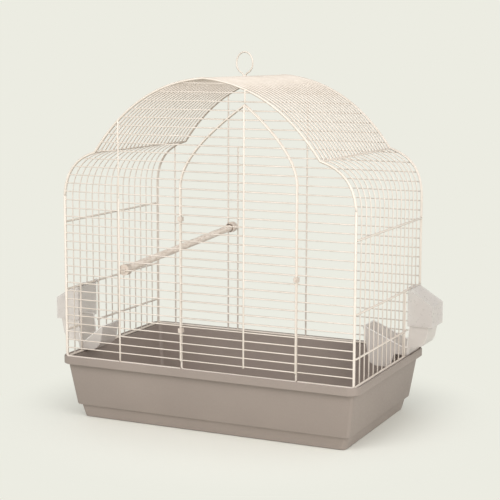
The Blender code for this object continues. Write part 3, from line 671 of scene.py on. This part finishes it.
def door_frame():
    """The wire round the doorway, closed along the base."""
    left_foot = corner(DOOR_LEFT_X, 1.0, FRONT_Y)
    right_foot = corner(DOOR_RIGHT_X, -1.0, FRONT_Y)
    mesh = Mesh()
    mesh.wire(left_foot + doorway_line(FRONT_Y) + right_foot[::-1], DOOR_FRAME_R, closed=True)
    dress(mesh.made("door_frame_wire"), "cage", CREAM, "door_frame")


def door_leaf():
    """The leaf follows the doorway's wire just in front of it and ends at its lowest row."""
    mesh = Mesh()
    left, right = arch()
    feet = [[(x, LEAF_Y, LEAF_LOW_Z)] for x in (DOOR_LEFT_X, DOOR_RIGHT_X)]
    mesh.wire(feet[0] + doorway_line(LEAF_Y) + feet[1], LEAF_R)
    rows = []
    for k in range(1, int(DOOR_APEX_Z // FRONT_PITCH) + 1):
        height = k * FRONT_PITCH
        start = DOOR_LEFT_X if height <= DOOR_SPRING_LEFT_Z else between(left, height, 1, 0)
        end = DOOR_RIGHT_X if height <= DOOR_SPRING_RIGHT_Z else between(right, height, 1, 0)
        if start is not None and end is not None and end - start > LEAF_SHORTEST_ROW:
            rows.append(up(height))
            row(mesh, start, end, LEAF_Y, up(height))
            mesh.bead((start + LEAF_WELD_BACK, LEAF_Y, up(height)), LEAF_WELD)
            mesh.bead((end - LEAF_WELD_BACK, LEAF_Y, up(height)), LEAF_WELD)
    upright(mesh, DOOR_APEX_X, LEAF_Y, -1.0, LEAF_LOW_Z, up(DOOR_APEX_Z), rows)
    dress(mesh.made("front_door_wires"), "door", CREAM, "front_door")


def back_grille():
    """The back's outline wire, rows and uprights."""
    mesh = Mesh()
    left_foot = corner(-BODY_HALF_X, 1.0, BACK_Y)
    right_foot = corner(BODY_HALF_X, -1.0, BACK_Y)
    path = left_foot + [(x, BACK_Y, up(z)) for x, z in outline()] + right_foot[::-1]
    mesh.wire(path, POST_R, closed=True)
    rows = []
    k = 0
    while BACK_FIRST + k * BACK_PITCH < APEX_Z - TOP_ROW_CLEAR:
        height = BACK_FIRST + k * BACK_PITCH
        wide = outline_half_width(height)
        row(mesh, -wide, wide, BACK_Y, up(height))
        for side in (-1.0, 1.0):
            mesh.bead((side * (wide - BACK_WELD_BACK), BACK_Y, up(height)), BACK_WELD)
        rows.append(up(height))
        k += 1
    for x in BACK_UPRIGHTS_X:
        upright(mesh, x, BACK_Y, 1.0, BASE_Z, up(outline_height(x)), rows)
    upright(mesh, BACK_SHORT_X, BACK_Y, 1.0, BASE_Z, up(BACK_SHORT_TOP), rows)
    dress(mesh.made("back_wires"), "cage", CREAM, "back_grille")


def side_grille(word):
    """One side's wires up and over the shoulder, its rails, and the two posts beside the feeder."""
    x_sign = -1 if word == "left" else 1
    middle = FEEDER_MIDDLE_Y[word]
    mesh = Mesh()
    side_x = x_sign * BODY_HALF_X
    rail_x = x_sign * (BODY_HALF_X + SIDE_RAIL_OUT)
    for k in range(SIDE_BAYS + 1):
        y = wire_y(k, SIDE_BAYS)
        over_feeder = abs(y - middle) < STILE_CLEARED and 0 < k < SIDE_BAYS
        low = up(SIDE_MIDDLE_RAIL) if over_feeder else BASE_Z
        path = [(side_x, y, low)] + [(x_sign * x, y, up(z)) for x, z in shoulder_line()[:-1]]
        mesh.wire(path + [(x_sign * SIDE_TOP[0], y, up(SIDE_TOP[1]))], SIDE_WIRE_R)
        for height in (SIDE_LOW_RAIL, SIDE_MIDDLE_RAIL, SIDE_HIGH_RAIL):
            if up(height) >= low:
                mesh.bead((x_sign * (BODY_HALF_X + RAIL_WELD_OUT), y, up(height)), RAIL_WELD)
    end = SIDE_END_Y
    runs = [
        (side_x, BASE_Z, POST_R, -end, end),
        (x_sign * SIDE_TOP[0], up(SIDE_TOP[1]), KINK_ROD_R, -end, end),
        (rail_x, up(SIDE_MIDDLE_RAIL), RAIL_R, -end, end),
        (rail_x, up(SIDE_HIGH_RAIL), RAIL_R, -end, end),
        (rail_x, up(SIDE_LOW_RAIL), RAIL_R, -end, middle - STILE_OUT),
        (rail_x, up(SIDE_LOW_RAIL), RAIL_R, middle + STILE_OUT, end),
    ]
    for x, z, radius, low_y, high_y in runs:
        mesh.wire(((x, low_y, z), (x, high_y, z)), radius)
    for y in (middle - STILE_OUT, middle + STILE_OUT):
        mesh.wire(((side_x, y, BASE_Z), (side_x, y, up(SIDE_MIDDLE_RAIL))), STILE_R)
        mesh.bead((side_x + x_sign * STILE_WELD_OUT, y, up(SIDE_MIDDLE_RAIL)), STILE_WELD)
    nodes = ("%s_side_grille" % word, "%s_shoulder_grille" % word)
    dress(mesh.made("%s_side_wires" % word), "cage", CREAM, *nodes)


def roof_grille():
    """The roof's wires, and the rod along each kink with its welds."""
    dome = dome_line()
    across = [(-x, z) for x, z in dome] + [(x, z) for x, z in reversed(dome[:-1])]
    mesh = Mesh()
    for k in range(ROOF_BAYS + 1):
        mesh.wire([(x, wire_y(k, ROOF_BAYS), up(z)) for x, z in across], ROOF_WIRE_R)
    for x in (-KINK_HALF_X, KINK_HALF_X):
        mesh.wire(((x, -SIDE_END_Y, up(KINK_Z)), (x, SIDE_END_Y, up(KINK_Z))), KINK_ROD_R)
        for k in range(ROOF_BAYS + 1):
            mesh.bead((x * ROOF_WELD_SHARE, wire_y(k, ROOF_BAYS), up(KINK_Z) + ROOF_WELD_UP), ROOF_WELD)
    dress(mesh.made("roof_wires"), "cage", CREAM, "roof_grille")


# Hanging ring on one of the roof's middle wires, with the height of its loop's middle above the rim
RING_WIRE = 11
RING_HALF_X = 14.2
RING_HALF_Z = 17.2
RING_R = 1.3
RING_EYE_R = 3.0
RING_NECK = 4.0
RING_CENTRE_Z = APEX_Z + RING_NECK + RING_R + RING_HALF_Z
RING_LEAN = 1.25
RING_LEAN_AWAY = 0.3
RING_STEPS = 24
RING_END_STEPS = 5
RING_OPEN_DEG = 16.0
RING_EYE_OUT = 1.5
RING_EYE_SLACK = 0.5
RING_EYE_STEPS = 8
RING_EYE_START_DEG = -60.0
RING_EYE_TURN_DEG = 240.0
RING_SIDES = 12


def hanging_ring():
    """One wire: an eye round the roof's wire, a crossing, the loop, and the same back to a second eye."""
    y0, apex = wire_y(RING_WIRE, ROOF_BAYS), up(APEX_Z)
    centre_z = up(RING_CENTRE_Z)
    wrap = RING_EYE_R - RING_R + RING_EYE_SLACK
    path = []
    turns = [RING_EYE_TURN_DEG * i / RING_EYE_STEPS for i in range(RING_EYE_STEPS + 1)]
    for turned in turns:
        angle = math.radians(RING_EYE_START_DEG + turned)
        path.append((RING_EYE_OUT, y0 + wrap * math.cos(angle), apex + wrap * math.sin(angle)))
    start_loop = math.radians(RING_OPEN_DEG)
    for i in range(RING_STEPS + 1):
        angle = start_loop + (2.0 * math.pi - 2.0 * start_loop) * i / RING_STEPS
        near_end = min(i, RING_STEPS - i) < RING_END_STEPS
        lean = RING_LEAN * math.cos(math.pi * i / RING_STEPS) * (1.0 if near_end else RING_LEAN_AWAY)
        path.append((-RING_HALF_X * math.sin(angle), y0 - lean, centre_z - RING_HALF_Z * math.cos(angle)))
    for turned in turns:
        angle = math.radians(RING_EYE_START_DEG + RING_EYE_TURN_DEG - turned)
        path.append((-RING_EYE_OUT, y0 - wrap * math.cos(angle), apex + wrap * math.sin(angle)))
    mesh = Mesh()
    mesh.wire(path, RING_R, sides=RING_SIDES)
    dress(mesh.made("hanging_ring_wire"), "ring", CREAM, "hanging_ring")


# Tray, insets measured inward from the outer face of the lip
LIP_OUT = 9.0
LIP_WIDE = 4.0
RIM_LOW = 92.0
WALL = 3.0
WALL_TOP_INSET = 9.0
WALL_LOW_INSET = 19.0
STEP_Z = 22.5
STEP_INSET = 24.0
STEP_LOW_Z = 20.5
FOOT_INSET = 28.0
BOTTOM = 4.0
LIP_CORNER_R = 20.0
SEAT_CORNER_R = 10.0
WALL_CORNER_R = 7.0


def tray_profile():
    """Inset, height and corner radius, from under the foot up the outside and down to the floor inside.

    Each edge has two or three points close together, which round it a little.
    """
    lip, seat, wall = LIP_CORNER_R, SEAT_CORNER_R, WALL_CORNER_R
    top, ledge, hollow = RIM_TOP, RIM_TOP - LIP_HIGH, WALL_TOP_INSET + WALL
    outside = [
        (FOOT_INSET + 3.0, 0.0, wall), (FOOT_INSET + 0.7, 0.7, wall), (FOOT_INSET, 3.0, wall),
        (STEP_INSET + 0.2, STEP_LOW_Z - 0.6, wall), (STEP_INSET - 0.4, STEP_LOW_Z + 0.2, wall),
        (WALL_LOW_INSET + 0.5, STEP_Z - 0.5, wall), (WALL_LOW_INSET - 0.1, STEP_Z + 0.6, wall),
        (WALL_TOP_INSET + 0.2, RIM_LOW - 1.2, wall), (WALL_TOP_INSET - 0.6, RIM_LOW - 0.3, wall + 2.0),
        (0.8, RIM_LOW, lip), (0.0, RIM_LOW + 0.9, lip), (0.0, top - 0.9, lip), (0.9, top, lip),
    ]
    inside = [
        (LIP_WIDE - 0.8, top, seat + 1.0), (LIP_WIDE, top - 0.8, seat), (LIP_WIDE, ledge + 0.4, seat),
        (LIP_WIDE + 0.4, ledge, seat), (hollow - 0.6, ledge, wall), (hollow, ledge - 0.6, wall),
        (WALL_LOW_INSET + WALL, STEP_Z + 1.6, wall), (WALL_LOW_INSET + WALL + 0.7, STEP_Z + 0.6, wall),
        (STEP_INSET + WALL - 0.6, STEP_LOW_Z + 1.2, wall), (STEP_INSET + WALL + 0.2, STEP_LOW_Z, wall),
        (FOOT_INSET + WALL - 0.1, BOTTOM + 3.4, wall), (FOOT_INSET + WALL + 1.0, BOTTOM + 0.9, wall),
        (FOOT_INSET + WALL + 3.4, BOTTOM, wall),
    ]
    return outside + inside


def rounded(half_x, half_y, radius, z, steps=12):
    """The corners of a flat rectangle with rounded corners."""
    found = []
    for (sx, sy), start in zip(((1, 1), (-1, 1), (-1, -1), (1, -1)), (0.0, 0.5, 1.0, 1.5)):
        for i in range(steps + 1):
            angle = math.pi * (start + 0.5 * i / steps)
            found.append((sx * (half_x - radius) + radius * math.cos(angle),
                          sy * (half_y - radius) + radius * math.sin(angle), z))
    return found


def tray():
    """The tray as one moulding with rounded corners."""
    outer_x, outer_y = BODY_HALF_X + LIP_OUT, BODY_HALF_Y + LIP_OUT
    mesh = Mesh()
    levels = []
    for inset, z, radius in tray_profile():
        levels.append(rounded(outer_x - inset, outer_y - inset, radius, z))
    mesh.rings(levels)
    piece = soften(mesh.made("tray_moulding"), width=0.35, segments=2, angle=25.0)
    dress(piece, "tray", TAUPE, "base_tray")


# Feeders: X outward from the side's wires, and height above the rim
CUP_HALF_Y = 26.0
CUP_WALL = 2.0
CUP_TUB = {
    "left": ((-40.0, 43.0), (-38.4, 32.0), (-36.6, 20.0), (-32.0, 9.0), (-25.5, 3.6)),
    "right": ((-73.0, 43.0), (-63.0, -10.0), (-60.0, -17.5), (-50.0, -22.0), (-26.5, -22.0),
              (-23.5, -20.0)),
}
CUP_TROUGH = ((-18.5, 0.6), (5.0, 0.6), (7.2, 11.0), (9.0, 13.2), (26.0, 16.4), (31.0, 18.8),
              (34.4, 24.5), (36.2, 31.0), (40.0, 52.0))
CUP_EDGE_R = 1.1
CUP_NOTCH = ((8.0, 52.0), (4.0, 14.0), (-4.0, 14.0))


def inner_line(points, wall):
    """A line of points moved sideways by a wall, to the left of its way."""
    moved = []
    for i, (x, z) in enumerate(points):
        here = Vector((x, z))
        way_in = (here - Vector(points[i - 1])).normalized() if i else None
        way_out = (Vector(points[i + 1]) - here).normalized() if i + 1 < len(points) else way_in
        way_in = way_in or way_out
        along = (way_in + way_out).normalized()
        reach = wall / along.dot(way_out)
        moved.append((x - along.y * reach, z + along.x * reach))
    return moved


def beside(points, x_sign):
    """Feeder points moved to their place beside the left or the right side."""
    return [(x_sign * (BODY_HALF_X + x), up(z)) for x, z in points]


def bake_boolean(piece, other, operation):
    """Cuts or joins a piece with another, which is used up."""
    step = piece.modifiers.new("shape", "BOOLEAN")
    step.operation = operation
    step.object = other
    step.solver = "EXACT"
    graph = bpy.context.evaluated_depsgraph_get()
    baked = bpy.data.meshes.new_from_object(piece.evaluated_get(graph))
    piece.modifiers.clear()
    piece.data = baked
    bpy.data.objects.remove(other, do_unlink=True)


def cup(word):
    """A feeder's cup: its shell, and a paler rim along its upper edge."""
    x_sign = -1 if word == "left" else 1
    y = FEEDER_MIDDLE_Y[word]
    under = CUP_TUB[word] + CUP_TROUGH
    outer, inner = Mesh(), Mesh()
    outer.prism(beside(under + CUP_NOTCH, x_sign), y - CUP_HALF_Y, y + CUP_HALF_Y)
    inside = inner_line(under, CUP_WALL)
    over = 2.0 * CUP_NOTCH[0][1]
    inside = [(inside[0][0], over)] + inside + [(inside[-1][0], over)]
    inner.prism(beside(inside, x_sign), y - CUP_HALF_Y + CUP_WALL, y + CUP_HALF_Y - CUP_WALL)
    piece = outer.made("feeder_cup_shell_%s" % word)
    bake_boolean(piece, inner.made("hollow"), "DIFFERENCE")
    soften(piece, width=0.7, segments=3, angle=28.0)
    dress(piece, "cup_%s" % word, CUP_WHITE, "feeder_cup_%s" % word)
    top = beside((under[-1],) + CUP_NOTCH + (under[0],), x_sign)
    top[0] = (top[0][0] - x_sign * CUP_WALL / 2.0, top[0][1])
    top[-1] = (top[-1][0] + x_sign * CUP_WALL / 2.0, top[-1][1])
    side_y = CUP_HALF_Y - CUP_WALL / 2.0
    rim = Mesh()
    near = [(x, y - side_y, z) for x, z in top]
    far = [(x, y + side_y, z) for x, z in reversed(top)]
    rim.wire(near + far, CUP_EDGE_R, closed=True)
    dress(rim.made("feeder_cup_rim_%s" % word), "cup_%s" % word, CUP_EDGE)


# CAD nodes that stay are welded where corners lie closer than this
NODE_WELD = 0.01
CLIP_NODES = ("door_hinge_clip_lower", "door_hinge_clip_upper", "door_catch", "perch_cap_front",
              "perch_cap_back")


def finish_node(name, material, width):
    """A CAD node that stays gets welded corners, rounded edges and its finish."""
    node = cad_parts[name]
    node.data.materials.clear()
    node.data.materials.append(material)
    joined = node.modifiers.new("joined", "WELD")
    joined.merge_threshold = NODE_WELD * MM
    soften(node, width, segments=2, angle=35.0)


# Perch: its skin lies a little inside its radius and rises to it, or sinks by a pit, with a noise
PERCH_R = 6.0
PERCH_SKIN_R = 5.75
PERCH_PIT = 0.55
PERCH_END_IN = 1.2
PERCH_STEPS = 190
PERCH_SIDES = 28
PERCH_KNOBS_AROUND = 2.6
PERCH_KNOBS_ALONG = 0.55
PERCH_KNOB_HIGH = 0.5
PERCH_FRACTAL = (1.0, 2.0, 3)


def perch():
    """A stick with knobbly rings pressed into it, along the long way of its CAD box."""
    low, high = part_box("perch")
    half = PERCH_R
    start = Vector((low.x / MM + half, low.y / MM + PERCH_END_IN, low.z / MM + half))
    end = Vector((high.x / MM - half, high.y / MM - PERCH_END_IN, high.z / MM - half))
    way = (end - start).normalized()
    side = Vector((0.0, 0.0, 1.0))
    side = (side - way * side.dot(way)).normalized()
    across = way.cross(side)
    length = (end - start).length
    rings = []
    for i in range(PERCH_STEPS + 1):
        here = start + way * (length * i / PERCH_STEPS)
        ring = []
        for k in range(PERCH_SIDES):
            angle = 2.0 * math.pi * k / PERCH_SIDES
            off = side * math.cos(angle) + across * math.sin(angle)
            place = (off.x * PERCH_KNOBS_AROUND, i * PERCH_KNOBS_ALONG, off.z * PERCH_KNOBS_AROUND)
            knob = PERCH_KNOB_HIGH * mathutils.noise.fractal(Vector(place), *PERCH_FRACTAL)
            ring.append(here + off * (PERCH_SKIN_R + max(-PERCH_PIT, min(PERCH_R - PERCH_SKIN_R, knob))))
        rings.append(ring)
    mesh = Mesh()
    mesh.rings(rings)
    dress(mesh.made("perch_stick"), "cage", PERCH, "perch")


def build():
    tray()
    for sign in (-1, 1):
        front_lower(sign)
        front_upper(sign)
    door_frame()
    door_leaf()
    back_grille()
    for word in ("left", "right"):
        side_grille(word)
        cup(word)
        finish_node("feeder_hood_" + word, HOOD_CLEAR, width=0.8)
    roof_grille()
    hanging_ring()
    perch()
    for name in CLIP_NODES:
        finish_node(name, CLIP, width=0.4)


# Camera, worked out from the photograph; places in metres
CAMERA_PLACE = Vector((0.93327, -1.99240, 0.59805))
CAMERA_LOOKS = Vector((-0.41691, 0.89725, -0.14538))
CAMERA_ROLL = math.radians(0.188)
CAMERA_LENS = 97.22
CAMERA_SENSOR = 36.0
CAMERA_REACH = 50.0


def camera():
    """The camera at the photograph's place, with its small roll."""
    data = bpy.data.cameras.new("camera")
    data.lens = CAMERA_LENS
    data.sensor_width = CAMERA_SENSOR
    data.clip_end = CAMERA_REACH
    seen = bpy.data.objects.new("camera", data)
    bpy.context.scene.collection.objects.link(seen)
    back = -CAMERA_LOOKS.normalized()
    right = Vector((0.0, 0.0, 1.0)).cross(back).normalized()
    upward = back.cross(right)
    turned_right = right * math.cos(CAMERA_ROLL) + upward * math.sin(CAMERA_ROLL)
    turned_up = upward * math.cos(CAMERA_ROLL) - right * math.sin(CAMERA_ROLL)
    turn = Matrix((turned_right, turned_up, back)).transposed()
    seen.matrix_world = Matrix.Translation(CAMERA_PLACE) @ turn.to_4x4()
    bpy.context.scene.camera = seen


# Light: places and widths in metres, power in watts
LAMPS = {
    "key": {"place": (-0.5, -2.7, 2.1), "size": 2.2, "power": 51.5},
    "fill": {"place": (2.4, -1.2, 1.5), "size": 2.4, "power": 42.0},
}
LAMP_TARGET = (0.0, 0.0, 0.25)
LAMP_COLOUR = (1.0, 0.975, 0.955)
AROUND_COLOUR = (1.0, 1.0, 0.985)
AROUND_STRENGTH = 0.47
BACKDROP = (0.839, 0.839, 0.761)


def lamp(name, place, size, power):
    data = bpy.data.lights.new(name, "AREA")
    data.shape = "DISK"
    data.size = size
    data.energy = power
    data.color = LAMP_COLOUR
    made = bpy.data.objects.new(name, data)
    made.location = place
    made.rotation_euler = (Vector(LAMP_TARGET) - Vector(place)).to_track_quat("-Z", "Y").to_euler()
    bpy.context.scene.collection.objects.link(made)


def light():
    """Two broad lamps, soft light from all round, and a plain backdrop behind the object."""
    for name, values in LAMPS.items():
        lamp(name, **values)
    world = bpy.data.worlds.new("studio")
    bpy.context.scene.world = world
    world.use_nodes = True
    tree = world.node_tree
    tree.nodes.clear()
    rays = tree.nodes.new("ShaderNodeLightPath")
    seen = tree.nodes.new("ShaderNodeMath")
    seen.operation = "MAXIMUM"
    seen_more = tree.nodes.new("ShaderNodeMath")
    seen_more.operation = "MAXIMUM"
    around = tree.nodes.new("ShaderNodeBackground")
    around.inputs["Color"].default_value = (*AROUND_COLOUR, 1.0)
    around.inputs["Strength"].default_value = AROUND_STRENGTH
    behind = tree.nodes.new("ShaderNodeBackground")
    behind.inputs["Color"].default_value = (*BACKDROP, 1.0)
    mix = tree.nodes.new("ShaderNodeMixShader")
    out = tree.nodes.new("ShaderNodeOutputWorld")
    tree.links.new(rays.outputs["Is Camera Ray"], seen.inputs[0])
    tree.links.new(rays.outputs["Is Glossy Ray"], seen.inputs[1])
    tree.links.new(seen.outputs["Value"], seen_more.inputs[0])
    tree.links.new(rays.outputs["Is Transmission Ray"], seen_more.inputs[1])
    tree.links.new(seen_more.outputs["Value"], mix.inputs["Fac"])
    tree.links.new(around.outputs["Background"], mix.inputs[1])
    tree.links.new(behind.outputs["Background"], mix.inputs[2])
    tree.links.new(mix.outputs["Shader"], out.inputs["Surface"])


# Ground, in metres: it lies a little low, and between the fade's two distances it turns into the backdrop
GROUND_REACH = 14.0
GROUND_LOW = 0.0004
GROUND_FADE = (0.22, 0.44)
GROUND_COLOUR = (0.90, 0.91, 0.85)
GROUND_ROUGHNESS = 0.9


def floor():
    """A pale floor that takes the object's shadow and fades into the backdrop's colour away from it."""
    data = bpy.data.meshes.new("floor")
    reach = GROUND_REACH
    corners = [(-reach, -reach, 0), (reach, -reach, 0), (reach, reach, 0), (-reach, reach, 0)]
    data.from_pydata(corners, [], [(0, 1, 2, 3)])
    made = bpy.data.objects.new("floor", data)
    made.location = (0.0, 0.0, -GROUND_LOW)
    bpy.context.scene.collection.objects.link(made)
    material = bpy.data.materials.new("floor")
    material.use_nodes = True
    tree = material.node_tree
    main = tree.nodes["Principled BSDF"]
    main.inputs["Base Color"].default_value = (*GROUND_COLOUR, 1.0)
    main.inputs["Roughness"].default_value = GROUND_ROUGHNESS
    place = tree.nodes.new("ShaderNodeTexCoord")
    length = tree.nodes.new("ShaderNodeVectorMath")
    length.operation = "LENGTH"
    fade = tree.nodes.new("ShaderNodeMapRange")
    fade.interpolation_type = "SMOOTHSTEP"
    fade.inputs["From Min"].default_value = GROUND_FADE[0]
    fade.inputs["From Max"].default_value = GROUND_FADE[1]
    glow = tree.nodes.new("ShaderNodeEmission")
    glow.inputs["Color"].default_value = (*BACKDROP, 1.0)
    rays = tree.nodes.new("ShaderNodeLightPath")
    both = tree.nodes.new("ShaderNodeMath")
    both.operation = "MULTIPLY"
    mix = tree.nodes.new("ShaderNodeMixShader")
    tree.links.new(place.outputs["Object"], length.inputs[0])
    tree.links.new(length.outputs["Value"], fade.inputs["Value"])
    tree.links.new(fade.outputs["Result"], both.inputs[0])
    tree.links.new(rays.outputs["Is Camera Ray"], both.inputs[1])
    tree.links.new(both.outputs["Value"], mix.inputs["Fac"])
    tree.links.new(main.outputs["BSDF"], mix.inputs[1])
    tree.links.new(glow.outputs["Emission"], mix.inputs[2])
    tree.links.new(mix.outputs["Shader"], tree.nodes["Material Output"].inputs["Surface"])
    data.materials.append(material)


build()
camera()
light()
floor()
bpy.context.scene.view_settings.view_transform = "Standard"
